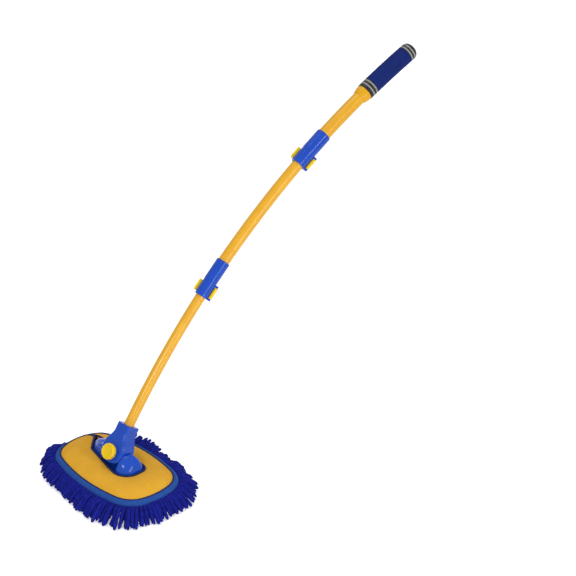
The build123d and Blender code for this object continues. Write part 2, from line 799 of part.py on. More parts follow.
def make_clamp_lever(clamp_at, small_radius):
    """A cam lever that wraps half round the collar, with a thumb tab opposite its pin."""
    collar_radius = small_radius + collar_wall
    inner = collar_radius + lever_gap
    outer = inner + lever_thickness
    crest = outer + tab_rise
    reach = pin_distance(collar_radius)
    far_half = Pos(0, crest) * Rectangle(4 * crest, 2 * crest)
    band = (Circle(outer) - Circle(inner)) & far_half
    tab = (Circle(crest) - Circle(inner)) & (
        Pos(-crest, tab_length / 2) * Rectangle(2 * crest, tab_length)
    )
    knuckle = Pos(reach, 0) * Circle(knuckle_radius)
    web = (Circle(reach + ear_radius) - Circle(inner)) & (
        Pos(crest, knuckle_web / 2) * Rectangle(2 * crest, knuckle_web)
    )
    profile = band + tab + knuckle + web
    lever = extrude(profile, amount=lever_width)
    recess = Pos(-crest, tab_length / 2, lever_width / 2) * Box(
        2 * tab_recess_depth + lever_edge,
        tab_length - 2 * tab_border,
        lever_width - 2 * tab_end_border,
    )
    lever -= recess
    lever -= Pos(reach, 0, -overrun) * Cylinder(
        lever_pin_radius + running_gap, lever_width + 2 * overrun, align=bottom_up
    )
    frame = station_plane(shoulder_of(clamp_at)).location * Rot(0, 0, lever_side)
    return frame * Pos(0, 0, knuckle_start - collar_length) * lever


# Grip

def turned(profile_points, station):
    """Revolve a radius-height outline about the pole's tangent at a station."""
    outline = Polygon(*profile_points, align=None)
    solid = revolve(Plane.XZ * outline, axis=Axis.Z, revolution_arc=360)
    return station_plane(station).location * solid


def make_grip_collar():
    points = [
        (0, -grip_collar_length),
        (grip_collar_small, -grip_collar_length),
        (grip_collar_large, grip_collar_flare - grip_collar_length),
        (grip_collar_large, 0),
        (0, 0),
    ]
    collar = turned(points, ferrule_at)
    return collar - bowed_rod(upper_radius + running_gap, grip_at - overrun, ferrule_at + overrun)


def band_stations(start, length, shares):
    return [(start + length * share - band_width / 2) for share in shares]


def make_ferrule():
    ferrule = bowed_tube(grip_radius, upper_radius + running_gap, ferrule_at, foam_at)
    for band in band_stations(ferrule_at, ferrule_length, ferrule_band_at_shares):
        ferrule -= bowed_tube(
            grip_radius + overrun, grip_radius - band_depth, band, band + band_width
        )
    return ferrule


def make_ferrule_bands():
    return Compound(children=[
        bowed_tube(grip_radius, grip_radius - band_depth, band, band + band_width)
        for band in band_stations(ferrule_at, ferrule_length, ferrule_band_at_shares)
    ])


def make_foam_grip():
    return bowed_tube(grip_radius, upper_radius + running_gap, foam_at, cap_at)


def cap_blank():
    """The domed end before its band grooves and bore."""
    cap = Cylinder(grip_radius, cap_length, align=bottom_up)
    cap = fillet(cap.edges().sort_by(Axis.Z)[-1], cap_dome)
    return station_plane(cap_at).location * cap


def cap_core():
    """The cap less the depth of its band grooves."""
    core = Cylinder(grip_radius - band_depth, cap_length, align=bottom_up)
    core = fillet(core.edges().sort_by(Axis.Z)[-1], cap_dome - band_depth)
    return station_plane(cap_at).location * Pos(0, 0, -band_depth) * core


def make_end_cap():
    spigot = upper_radius - tube_wall - running_gap
    cap = cap_blank()
    cap -= bowed_rod(upper_radius + running_gap, cap_at - overrun, upper_end)
    cap += bowed_rod(spigot, upper_end - cap_spigot, upper_end + overrun)
    for band in band_stations(cap_at, cap_length, cap_band_at_shares):
        groove = bowed_tube(2 * grip_radius, upper_radius, band, band + band_width)
        cap -= groove - cap_core()
    return cap


def make_cap_bands():
    skin = cap_blank() - cap_core()
    rings = []
    for band in band_stations(cap_at, cap_length, cap_band_at_shares):
        rings.append(skin & bowed_tube(2 * grip_radius, upper_radius, band, band + band_width))
    return Compound(children=[solid for ring in rings for solid in ring.solids()])


# Chenille

def strand(path, across, width):
    """A four-sided strand along points in one upright plane; across is its sideways direction."""
    side = Vector(*across)
    points = [Vector(*point) for point in path]
    sections = []
    for index, point in enumerate(points):
        before = points[max(index - 1, 0)]
        after = points[min(index + 1, len(points) - 1)]
        along = (after - before).normalized()
        plane = Plane(origin=point, x_dir=side, z_dir=along)
        sections.append(plane * Rectangle(width, width))
    return loft(sections, ruled=True)


def wave(index, turn):
    """A repeatable uneven number between -1 and 1 for each strand."""
    return math.sin(index * turn) * math.cos(index * turn * fringe_sway_beat)


def nearness(share, place):
    """1 at a place on the outline, fading to 0 away from it."""
    middle, spread = place
    return math.exp(-(((share % 1.0 - middle) / spread) ** 2))


def fringe_path(index, row):
    """Points of one fringe strand, from its root under the rim out and down to its tip."""
    share = (index + row / 2) / fringe_count
    hang = nearness(share, fringe_hang_at)
    lift = nearness(share, fringe_lift_at)
    reach_sway = fringe_sway_shares[0] * wave(index, fringe_sway_turns[0] + row)
    drop_sway = fringe_sway_shares[1] * wave(index, fringe_sway_turns[1] + row)
    if row == 0:
        root, top, path = upper_root, backing_top - upper_sink, upper_path_shares
        reach = upper_reach
        drop = upper_drop * (1 + fringe_hang_shares[1] * hang - fringe_lift_share * lift)
    else:
        root, top, path = lower_root, pile_height, lower_path_shares
        reach = lower_reach
        drop = lower_drop
    reach *= 1 - fringe_hang_shares[0] * hang + reach_sway
    drop *= 1 + drop_sway
    lowest = fringe_foot + fringe_thickness / 2
    points = []
    for along, down in path:
        x, y, angle = outline_point(share, root + reach * along)
        points.append((x, y, max(top - drop * down, lowest)))
    across = (-math.sin(angle), math.cos(angle), 0)
    return points, across


def slice_piece(first, last):
    """The band of backing that carries the strands from one index to another."""
    inner, outer = [], []
    for step in range(last - first + 1):
        inset = fringe_end_share * (1 - 2 * step / (last - first))
        share = (first + step + inset - 1 / 2) / fringe_count
        inner.append(outline_point(share, -slice_inner)[:2])
        outer.append(outline_point(share, slice_outer)[:2])
    low = backing_top - soft_gap - slice_thickness
    ring = Polygon(*(outer + inner[::-1]), align=None)
    return Pos(0, 0, low) * extrude(ring, amount=slice_thickness)


def make_fringe(first, last):
    strands = []
    for index in range(first, last):
        rows = (0,) if index == last - 1 else (0, 1)
        for row in rows:
            points, across = fringe_path(index, row)
            strands.append(strand(points, across, fringe_thickness))
    return slice_piece(first, last).fuse(*strands)


def fringe_breaks():
    breaks = [round(share * fringe_count) for share in fringe_split_shares]
    return list(zip(breaks, breaks[1:] + [breaks[0] + fringe_count]))


def pile_spots():
    """A staggered grid of strand places inside the pad, with one at the centre."""
    inner = pad_face(-pile_inset)
    rows = int(pad_half_width / pile_pitch) + 1
    columns = int(pad_half_length / pile_column_pitch) + 1
    spots = []
    for column in range(-columns, columns + 1):
        for row in range(-rows, rows + 1):
            x = column * pile_column_pitch
            y = (row + column % 2 / 2) * pile_pitch
            if inner.is_inside((x, y, 0)):
                spots.append((x, y, pile_turns[(row + column) % 2]))
    return spots


def make_pile(low_x, high_x):
    span = high_x - low_x
    column = Pos((low_x + high_x) / 2, 0, pile_height) * Box(
        span, 4 * pad_half_width, 4 * backing_thickness
    )
    sheet = pad_slab(-slice_inner - soft_gap, pile_height, backing_top) & column
    strands = []
    length = pile_height + pile_trim + backing_thickness / 2
    for x, y, turn in pile_spots():
        if low_x <= x < high_x:
            post = extrude(Rectangle(pile_thickness, pile_thickness), amount=length)
            strands.append(Location((x, y, -pile_trim), (0, 0, turn)) * post)
    pile = sheet.fuse(*strands)
    floor = Pos(0, 0, -pile_height / 2) * Box(4 * pad_half_length, 4 * pad_half_width, pile_height)
    return pile - floor


# Assembly

def head_parts():
    crown = dome()
    pieces = {
        "frame_plate": make_frame_plate(),
        "hinge_base": make_hinge_base(),
        "left_cheek_cap": make_cheek_cap(-1),
        "right_cheek_cap": make_cheek_cap(1),
        "base_screws": make_base_screws(),
        "cheek_screws": make_cap_screws(),
        "hinge_pin": make_hinge_pin(),
        "hinge_sleeve": make_hinge_sleeve(),
        "pad_foam": make_pad_foam(crown),
        "cover_top": make_cover_top(crown),
        "opening_binding": make_opening_binding(crown),
        "rim_binding": make_rim_binding(),
    }
    names = ("fringe_far", "fringe_back_end", "fringe_near", "fringe_front_end")
    for name, (first, last) in zip(names, fringe_breaks()):
        pieces[name] = make_fringe(first, last)
    split = pile_split_column * pile_column_pitch
    edge = 2 * pad_half_length
    pieces["pile_back_end"] = make_pile(-edge, -split)
    pieces["pile_middle"] = make_pile(-split, split)
    pieces["pile_front_end"] = make_pile(split, edge)
    return pieces


def pole_parts():
    pieces = {
        "neck": make_neck(),
        "tube_screw": make_tube_screw(),
        "knob_nut": make_knob_nut(),
        "friction_shoe": make_friction_shoe(),
        "knob_screw": make_knob_screw(),
        "clamp_knob": make_clamp_knob(),
        "lower_tube": make_lower_tube(),
        "lower_tube_bush": make_bush(lower_radius, mid_radius, lower_end),
        "mid_tube": make_mid_tube(),
        "mid_tube_bush": make_bush(mid_radius, upper_radius, mid_end),
        "upper_tube": make_upper_tube(),
        "lower_clamp_body": make_clamp_body(lower_clamp_at, lower_radius, mid_radius),
        "lower_clamp_lever": make_clamp_lever(lower_clamp_at, lower_radius),
        "lower_lever_pin": make_lever_pin(lower_clamp_at, lower_radius),
        "upper_clamp_body": make_clamp_body(upper_clamp_at, mid_radius, upper_radius),
        "upper_clamp_lever": make_clamp_lever(upper_clamp_at, mid_radius),
        "upper_lever_pin": make_lever_pin(upper_clamp_at, mid_radius),
        "grip_collar": make_grip_collar(),
        "grip_ferrule": make_ferrule(),
        "ferrule_bands": make_ferrule_bands(),
        "foam_grip": make_foam_grip(),
        "end_cap": make_end_cap(),
        "cap_bands": make_cap_bands(),
    }
    return {name: pole_frame * piece for name, piece in pieces.items()}


os.makedirs("parts", exist_ok=True)
for name, piece in {**head_parts(), **pole_parts()}.items():
    export_step(piece, f"parts/{name}.step")
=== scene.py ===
import bpy
import math
import random
import numpy as np
from mathutils import Matrix, Vector


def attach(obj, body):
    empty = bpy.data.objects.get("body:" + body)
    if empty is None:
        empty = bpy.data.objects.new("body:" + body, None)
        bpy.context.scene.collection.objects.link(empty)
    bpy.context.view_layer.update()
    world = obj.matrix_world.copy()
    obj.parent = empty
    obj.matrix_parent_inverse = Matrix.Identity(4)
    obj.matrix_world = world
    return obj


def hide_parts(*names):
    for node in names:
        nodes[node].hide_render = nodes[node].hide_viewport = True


# Car wash brush, dressed over its CAD frame. Sizes in the dictionaries are millimetres.
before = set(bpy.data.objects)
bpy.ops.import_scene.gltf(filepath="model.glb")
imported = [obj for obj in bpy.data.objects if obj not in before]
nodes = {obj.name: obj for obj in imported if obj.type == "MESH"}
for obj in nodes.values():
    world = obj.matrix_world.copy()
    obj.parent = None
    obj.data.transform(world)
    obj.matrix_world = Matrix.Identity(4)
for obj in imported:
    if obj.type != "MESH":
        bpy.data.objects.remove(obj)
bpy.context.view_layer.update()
mm = 0.001
print("frame loaded,", len(nodes), "CAD nodes")


camera = {
    "focal": 312.5,
    "azimuth": 45.11,
    "elevation": 32.35,
    "roll": 2.65,
    "depth": 10260.0,
    "aimPoint": (0.0, 0.0, 40.0),   # centre of the yellow edge
    "aimPixel": (115.75, 466.0),   # where the photo has it
    "frame": 576.0,
    "sensor": 36.0,
    "farClip": 100.0,   # metres
}


def makeCamera(c):
    azimuth, elevation, roll = (math.radians(c[k]) for k in ("azimuth", "elevation", "roll"))
    forward = Vector((-math.sin(azimuth) * math.cos(elevation),
                      math.cos(azimuth) * math.cos(elevation), -math.sin(elevation)))
    level = Vector((math.cos(azimuth), math.sin(azimuth), 0.0))
    upright = level.cross(forward)
    right = level * math.cos(roll) + upright * math.sin(roll)
    up = upright * math.cos(roll) - level * math.sin(roll)
    pixels = c["focal"] / c["sensor"] * c["frame"]
    across = (c["aimPixel"][0] - c["frame"] / 2) / pixels
    down = (c["aimPixel"][1] - c["frame"] / 2) / pixels
    place = Vector(c["aimPoint"]) - c["depth"] * (forward + across * right - down * up)
    data = bpy.data.cameras.new("photoCamera")
    data.lens = c["focal"]
    data.sensor_width = c["sensor"]
    data.clip_end = c["farClip"]
    cam = bpy.data.objects.new("photoCamera", data)
    turn = Matrix((right, up, -forward)).transposed().to_4x4()
    cam.matrix_world = Matrix.Translation(place * mm) @ turn
    bpy.context.collection.objects.link(cam)
    bpy.context.scene.camera = cam


makeCamera(camera)


# sRGB hex to linear RGBA
def linear(hexColour):
    out = []
    for i in (1, 3, 5):
        v = int(hexColour[i:i + 2], 16) / 255
        out.append(v / 12.92 if v <= 0.04045 else ((v + 0.055) / 1.055) ** 2.4)
    return (*out, 1.0)


outline = {   # the pad's edge in plan: eight tangent arcs
    "halfLength": 127.0, "halfWidth": 82.0, "sideRadius": 330.0, "widestAt": 12.0,
    "frontEnd": 150.0, "frontCorner": 52.0, "backEnd": 105.0, "backCorner": 46.0,
}
pad = {
    "backingTop": 28.5, "coverFloor": 37.5, "rim": 40.0,
    "crown": 13.0, "crownRun": 40.0, "crownPower": 2.1,
    "edgeSteps": 900,
}
keyhole = {   # the opening from the slit's near mouth round to its far mouth
    "corners": ((-99.0, 27.5), (-67.0, -9.5), (65.5, -43.7), (65.5, 33.0), (-91.0, 36.0)),
    "radii": (5.0, 14.0, 34.0, 18.0, 40.0),
    "slitBearing": 194.0,
    "slitLength": 127.0,
}


def cornerCentre(side, sideRadius, end, endRadius, corner, way):
    gap = np.subtract(end, side)
    apart = np.hypot(*gap)
    fromSide, fromEnd = sideRadius - corner, endRadius - corner
    along = (fromSide ** 2 - fromEnd ** 2 + apart ** 2) / (2 * apart)
    across = math.sqrt(fromSide ** 2 - along ** 2)
    ux, uy = gap / apart
    one = (side[0] + ux * along - uy * across, side[1] + uy * along + ux * across)
    two = (side[0] + ux * along + uy * across, side[1] + uy * along - ux * across)
    return one if one[0] * way > two[0] * way else two


def outlineArcs(o):
    side = (o["widestAt"], o["halfWidth"] - o["sideRadius"])
    front = (o["halfLength"] - o["frontEnd"], 0.0)
    back = (o["backEnd"] - o["halfLength"], 0.0)
    frontCorner = cornerCentre(side, o["sideRadius"], front, o["frontEnd"], o["frontCorner"], 1)
    backCorner = cornerCentre(side, o["sideRadius"], back, o["backEnd"], o["backCorner"], -1)

    def heading(a, b):
        return math.atan2(b[1] - a[1], b[0] - a[0])

    turns = (0.0, heading(front, frontCorner), heading(side, frontCorner),
             heading(side, backCorner), heading(back, backCorner), math.pi)
    centres = (front, frontCorner, side, backCorner, back)
    radii = (o["frontEnd"], o["frontCorner"], o["sideRadius"], o["backCorner"], o["backEnd"])
    upper = [(c, r, turns[i], turns[i + 1]) for i, (c, r) in enumerate(zip(centres, radii))]
    lower = [((c[0], -c[1]), r, 2 * math.pi - b, 2 * math.pi - a) for c, r, a, b in reversed(upper)]
    return upper + lower


arcs = outlineArcs(outline)


# x, y and outward angle at shares of the outline's length, grown outwards
def edgePoints(shares, grow=0.0):
    lengths = np.array([r * (b - a) for _, r, a, b in arcs])
    ends = np.cumsum(lengths)
    out = []
    for share in np.atleast_1d(shares):
        s = (share % 1.0) * ends[-1]
        i = min(int(np.searchsorted(ends, s)), len(arcs) - 1)
        c, r, a, _ = arcs[i]
        angle = a + (s - (ends[i] - lengths[i])) / r
        reach = r + grow
        out.append((c[0] + reach * math.cos(angle), c[1] + reach * math.sin(angle), angle))
    return np.array(out)


edgeLoop = edgePoints(np.linspace(0, 1, pad["edgeSteps"], endpoint=False))[:, :2]
outlineLength = sum(r * (b - a) for _, r, a, b in arcs)


# distance from the pad's edge, for points inside it
def inwards(x, y):
    x, y = np.broadcast_arrays(x, y)
    flat = np.stack([x.ravel(), y.ravel()], 1)
    out = np.empty(len(flat))
    block = 4000   # points compared at a time
    for i in range(0, len(flat), block):
        gap = flat[i:i + block, None, :] - edgeLoop[None]
        out[i:i + block] = np.sqrt((gap ** 2).sum(2)).min(1)
    return out.reshape(x.shape)


# height of the padded cover over the pad
def crownHeight(x, y):
    d = np.clip(inwards(x, y) / pad["crownRun"], 0, 1)
    return pad["rim"] + pad["crown"] * (1 - (1 - d) ** pad["crownPower"])


# points round a polygon with its own radius at each corner, and where each corner starts
def roundedLoop(corners, radii, step=1.2):
    points, starts = [], []
    count = len(corners)
    for i, (corner, radius) in enumerate(zip(corners, radii)):
        p = np.array(corner, float)
        before = np.array(corners[i - 1], float) - p
        after = np.array(corners[(i + 1) % count], float) - p
        before /= np.hypot(*before)
        after /= np.hypot(*after)
        starts.append(len(points))
        if not radius:
            points.append(p)
            continue
        half = math.acos(np.clip(before @ after, -1, 1)) / 2
        reach = radius / math.tan(half)
        bisector = (before + after) / np.hypot(*(before + after))
        centre = p + bisector * radius / math.sin(half)
        a, b = p + before * reach - centre, p + after * reach - centre
        turn = math.atan2(a[0] * b[1] - a[1] * b[0], a @ b)
        for t in np.linspace(0, 1, max(3, int(abs(turn) * radius / step))):
            c, s = math.cos(turn * t), math.sin(turn * t)
            points.append(centre + (a[0] * c - a[1] * s, a[0] * s + a[1] * c))
    return np.array(points), starts


# count points at even distances along a run of points
def evenly(points, count, closed=False):
    run = np.vstack([points, points[:1]]) if closed else np.asarray(points)
    steps = np.r_[0, np.cumsum(np.sqrt((np.diff(run, axis=0) ** 2).sum(1)))]
    at = np.linspace(0, steps[-1], count, endpoint=not closed)
    return np.stack([np.interp(at, steps, run[:, k]) for k in range(run.shape[1])], 1)


def makeMesh(name, points, faces, smooth=True):
    mesh = bpy.data.meshes.new(name)
    mesh.from_pydata((np.asarray(points) * mm).tolist(), [], [list(f) for f in faces])
    mesh.validate()
    mesh.polygons.foreach_set("use_smooth", [smooth] * len(mesh.polygons))
    mesh.update()
    piece = bpy.data.objects.new(name, mesh)
    bpy.context.collection.objects.link(piece)
    return piece


# quads of a rows by columns grid of points
def gridFaces(rows, columns, start=0, wrapRows=False, wrapColumns=False):
    faces = []
    for i in range(rows if wrapRows else rows - 1):
        for j in range(columns if wrapColumns else columns - 1):
            a, b = i * columns + j, i * columns + (j + 1) % columns
            c, d = ((i + 1) % rows) * columns + (j + 1) % columns, ((i + 1) % rows) * columns + j
            faces.append((start + a, start + b, start + c, start + d))
    return faces


# points and quads of a tube through rings of points; open tubes get end caps
def sweep(rings, closed):
    count, around = len(rings), len(rings[0])
    points = np.concatenate(rings)
    faces = gridFaces(count, around, wrapRows=closed, wrapColumns=True)
    if not closed:
        faces.append(tuple(range(around))[::-1])
        faces.append(tuple((count - 1) * around + i for i in range(around)))
    return points, faces


def joinParts(parts):
    points, faces, start = [], [], 0
    for p, f in parts:
        points.append(np.asarray(p))
        faces += [tuple(i + start for i in face) for face in f]
        start += len(p)
    return np.concatenate(points), faces


# a node with its socket values, properties and links: links maps an input to an output
def addNode(tree, kind, links=None, **settings):
    node = tree.nodes.new(kind)
    for key, value in settings.items():
        name = key.replace("_", " ")
        if name in node.inputs:
            node.inputs[name].default_value = value
        else:
            setattr(node, key, value)
    for socket, source in (links or {}).items():
        tree.links.new(source, node.inputs[socket])
    return node


def startMaterial(name, **settings):
    material = bpy.data.materials.new(name)
    material.use_nodes = True
    tree = material.node_tree
    surface = tree.nodes["Principled BSDF"]
    for key, value in settings.items():
        surface.inputs[key.replace("_", " ")].default_value = value
    place = addNode(tree, "ShaderNodeTexCoord").outputs["Object"]
    return material, tree, surface, place


# colour ramp stops as (place, hex)
def setStops(ramp, stops):
    while len(ramp.elements) < len(stops):
        ramp.elements.new(0.5)
    for element, (at, colour) in zip(ramp.elements, stops):
        element.position = at
        element.color = linear(colour)


def toned(tree, surface, source, stops):
    ramp = addNode(tree, "ShaderNodeValToRGB", {"Fac": source})
    setStops(ramp.color_ramp, stops)
    tree.links.new(ramp.outputs["Color"], surface.inputs["Base Color"])


def roughened(tree, surface, source, low, high):
    spread = addNode(tree, "ShaderNodeMapRange", {"Value": source}, To_Min=low, To_Max=high)
    tree.links.new(spread.outputs["Result"], surface.inputs["Roughness"])


# relief of a real depth in millimetres
def bumped(tree, surface, height, distance):
    bump = addNode(tree, "ShaderNodeBump", {"Height": height}, Strength=1.0, Distance=distance * mm)
    tree.links.new(bump.outputs["Normal"], surface.inputs["Normal"])


def perMetre(sizeMm):
    return 1.0 / (sizeMm * mm)


# a band texture repeats after a twentieth of a full turn
def bandsPerMetre(sizeMm):
    return 2 * math.pi / 20 * perMetre(sizeMm)


def noise(tree, place, sizeMm, detail):
    return addNode(tree, "ShaderNodeTexNoise", {"Vector": place},
                   Scale=perMetre(sizeMm), Detail=detail).outputs["Fac"]


def cells(tree, place, sizeMm):
    return addNode(tree, "ShaderNodeTexVoronoi", {"Vector": place},
                   Scale=perMetre(sizeMm)).outputs["Distance"]


def bands(tree, place, direction, sizeMm, distortion, detail):
    return addNode(tree, "ShaderNodeTexWave", {"Vector": place}, wave_type="BANDS",
                   bands_direction=direction, Scale=bandsPerMetre(sizeMm),
                   Distortion=distortion, Detail=detail).outputs["Fac"]


def combined(tree, operation, first, second):
    node = addNode(tree, "ShaderNodeMath", {0: first, 1: second}, operation=operation)
    return node.outputs["Value"]


def scaled(tree, source, factor):
    node = addNode(tree, "ShaderNodeMath", {0: source}, operation="MULTIPLY")
    node.inputs[1].default_value = factor
    return node.outputs["Value"]


# injection moulded ABS: even colour, fine eggshell grain, clear highlights on the edges
def mouldedPlastic(name, stops, roughness, grain=0.7, depth=0.006):
    material, tree, surface, place = startMaterial(name, IOR=1.53, Specular_IOR_Level=0.24)
    cloud = noise(tree, place, 60, 3.0)
    toned(tree, surface, cloud, stops)
    roughened(tree, surface, cloud, *roughness)
    bumped(tree, surface, noise(tree, place, grain, 2.0), depth)
    return material


# aluminium tube with baked yellow lacquer: a smooth coat, slight orange peel, rubbed a little
def lacqueredTube(name, stops, roughness):
    material, tree, surface, place = startMaterial(name, IOR=1.5, Specular_IOR_Level=0.4)
    cloud = noise(tree, place, 45, 4.0)
    toned(tree, surface, cloud, stops)
    roughened(tree, surface, cloud, *roughness)
    bumped(tree, surface, noise(tree, place, 2.5, 2.0), 0.012)   # the orange peel
    return material


# knitted polyester laid over foam: matt, a fine rib of stitches, soft light at grazing angles.
# Real courses are 0.8 mm; drawn at 2.4 mm so that they show
def knittedCover(name, stops, course=2.4):
    material, tree, surface, place = startMaterial(
        name, IOR=1.46, Sheen_Weight=0.04, Sheen_Roughness=0.5, Roughness=0.9,
        Specular_IOR_Level=0.25)
    surface.inputs["Sheen Tint"].default_value = linear("#ffe6a0")
    weave = combined(tree, "MULTIPLY", bands(tree, place, "X", course, 1.2, 1.0),
                     bands(tree, place, "Y", course * 0.8, 1.2, 1.0))
    both = combined(tree, "ADD", weave, noise(tree, place, 26, 5.0))
    toned(tree, surface, scaled(tree, both, 0.55), stops)
    bumped(tree, surface, both, 0.22)
    return material


# woven bias tape of polyester yarn: matt, fine slanting ribs, a little mottled.
# Real ribs are 0.6 mm; drawn at 1.8 mm so that they show
def wovenTape(name, stops, rib=1.8):
    material, tree, surface, place = startMaterial(
        name, IOR=1.46, Sheen_Weight=0.06, Roughness=0.85, Specular_IOR_Level=0.3)
    surface.inputs["Sheen Tint"].default_value = linear("#9db4e8")
    both = combined(tree, "ADD", bands(tree, place, "DIAGONAL", rib, 2.0, 2.0),
                    noise(tree, place, 9, 4.0))
    toned(tree, surface, scaled(tree, both, 0.5), stops)
    bumped(tree, surface, both, 0.18)
    return material


# microfibre chenille: a soft pile round a core, with painted shade between its tufts and painted
# highlight on their ends
def chenilleYarn(name, stops, tuft=1.3):
    material, tree, surface, place = startMaterial(
        name, IOR=1.46, Sheen_Weight=0.06, Roughness=0.95, Specular_IOR_Level=0.2)
    surface.inputs["Sheen Tint"].default_value = linear("#6c74e0")
    tuftHeightAndShade = combined(tree, "SUBTRACT", noise(tree, place, 0.6, 3.0), cells(tree, place, tuft))
    # the tufts' height also sets the colour: painted shade between the tufts, painted highlight on
    # their ends
    tone = combined(tree, "ADD", tuftHeightAndShade, noise(tree, place, 7, 2.0))
    toned(tree, surface, scaled(tree, tone, 0.75), stops)
    bumped(tree, surface, tuftHeightAndShade, 0.9)
    return material


# closed cell EVA foam: matt, slightly pebbled skin with tiny open cells
def closedCellFoam(name, stops, cell=1.1):
    material, tree, surface, place = startMaterial(
        name, IOR=1.45, Roughness=0.85, Specular_IOR_Level=0.15)
    cloud = noise(tree, place, 12, 4.0)
    toned(tree, surface, cloud, stops)
    roughened(tree, surface, cloud, 0.75, 0.92)
    bumped(tree, surface, cells(tree, place, cell), 0.25)
    return material


# zinc plated or ground steel, or brass: fine turning marks, soft reflections
def turnedMetal(name, colour, roughness):
    material, tree, surface, place = startMaterial(name, Metallic=1.0)
    grain = noise(tree, place, 0.5, 4.0)
    toned(tree, surface, grain, ((0.0, colour), (1.0, colour)))
    roughened(tree, surface, grain, *roughness)
    bumped(tree, surface, grain, 0.01)
    return material


finishes = {
    "bluePlastic": mouldedPlastic(
        "mouldedBlueABS", ((0.2, "#0a41b0"), (0.8, "#114cbe")), (0.16, 0.22)),
    "yellowPlastic": mouldedPlastic(
        "mouldedYellowABS", ((0.2, "#e9c20a"), (0.8, "#f2ce14")), (0.28, 0.36)),
    "amberPlastic": mouldedPlastic(
        "mouldedAmberABS", ((0.2, "#dc9f0c"), (0.8, "#e3a914")), (0.28, 0.36)),
    "blackPlastic": mouldedPlastic(
        "mouldedBlackABS", ((0.2, "#101218"), (0.8, "#171a22")), (0.38, 0.5)),
    "blackPlate": mouldedPlastic(
        "mouldedBlackPolypropylene", ((0.2, "#15161a"), (0.8, "#202126")), (0.5, 0.6)),
    "greyNylon": mouldedPlastic(
        "mouldedGreyNylon", ((0.2, "#a9acb2"), (0.8, "#bdc0c4")), (0.4, 0.5)),
    "greyBand": mouldedPlastic(
        "mouldedGreyRing", ((0.2, "#84827d"), (0.8, "#9a9892")), (0.4, 0.5)),
    "blackRubber": mouldedPlastic(
        "mouldedRubber", ((0.2, "#18181a"), (0.8, "#232326")), (0.7, 0.85)),
    "lowerTube": lacqueredTube(
        "bakedYellowLacquer", ((0.25, "#dfa31a"), (0.75, "#e7ad22")), (0.22, 0.27)),
    "upperTube": lacqueredTube(
        "bakedAmberLacquer", ((0.25, "#dc9f0c"), (0.75, "#e3a914")), (0.26, 0.32)),
    "knit": knittedCover(
        "knittedYellowPolyester", ((0.25, "#daa02a"), (0.5, "#e4ab30"), (0.75, "#ebb53b"))),
    "piping": wovenTape(
        "wovenNavyTape", ((0.2, "#0f1640"), (0.8, "#1c2966"))),
    "tape": wovenTape(
        "wovenBlueTape", ((0.2, "#173f86"), (0.8, "#2355a6"))),
    # the darkest stops carry painted shade between the tufts and the palest carry painted highlight
    # on their ends; the rest varies at random
    "chenille": chenilleYarn(
        "microfibreChenille",
        ((0.0, "#0a0f5c"), (0.35, "#121b8c"), (0.7, "#1c2ab0"), (1.0, "#2c3dc8"))),
    "gripFoam": closedCellFoam(
        "navyClosedCellFoam", ((0.2, "#112160"), (0.8, "#192c74"))),
    "zincSteel": turnedMetal("zincPlatedSteel", "#b9bbbd", (0.3, 0.42)),
    "groundSteel": turnedMetal("groundSteel", "#aeb0b3", (0.18, 0.28)),
    "brass": turnedMetal("turnedBrass", "#c9a64e", (0.22, 0.34)),
}
print("materials made,", len(finishes))


def dress(names, finish):
    for name in names:
        for holder in nodes[name].material_slots:
            holder.material = finishes[finish]


dress(("neck", "hinge_base", "lower_clamp_body", "upper_clamp_body"), "bluePlastic")
dress(("lower_clamp_lever", "upper_clamp_lever"), "yellowPlastic")
dress(("grip_collar",), "amberPlastic")
dress(("grip_ferrule", "end_cap"), "blackPlastic")
dress(("frame_plate",), "blackPlate")
dress(("hinge_sleeve", "lower_tube_bush", "mid_tube_bush"), "greyNylon")
dress(("ferrule_bands", "cap_bands"), "greyBand")
dress(("friction_shoe",), "blackRubber")
dress(("lower_tube", "mid_tube"), "lowerTube")
dress(("upper_tube",), "upperTube")
dress(("base_screws", "cheek_screws", "tube_screw", "knob_screw"), "zincSteel")
dress(("hinge_pin", "lower_lever_pin", "upper_lever_pin"), "groundSteel")
dress(("knob_nut",), "brass")
print("CAD nodes dressed")


def finishPiece(piece, finish, slot, body, *replaced):
    piece.data.materials.append(finishes[finish])
    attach(piece, body)
    if replaced:
        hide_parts(*replaced)
    return piece


cover = {
    "columns": 300,      # points round the opening
    "rows": 26,          # points from the opening to the edge
    "edgeInset": 0.4,
    "middle": (-8.0, 0.0),
    "lipReach": 60.0, "lipSteps": 1201,   # the search for the place where a lip meets the edge
    "mouthBlend": 60.0,
    "puff": 1.4, "puffPower": 0.7,        # how far the middle of the padding stands up
    "sunk": 0.6, "floorGap": 0.2,
    "pressure": 3.0, "quality": 4, "frames": 12, "mostSwell": 2.5,
}


# points round the opening, from the slit's near lip to its far lip, and the slit's own direction
def openingPath(k):
    turn = math.radians(k["slitBearing"])
    slit = np.array([math.cos(turn), math.sin(turn)])
    corners = np.array(k["corners"])
    ends = (corners[-1] + k["slitLength"] * slit, corners[0] + k["slitLength"] * slit)
    loop, starts = roundedLoop(np.vstack([corners, ends]), (*k["radii"], 0, 0))
    return loop[:starts[-2]], slit


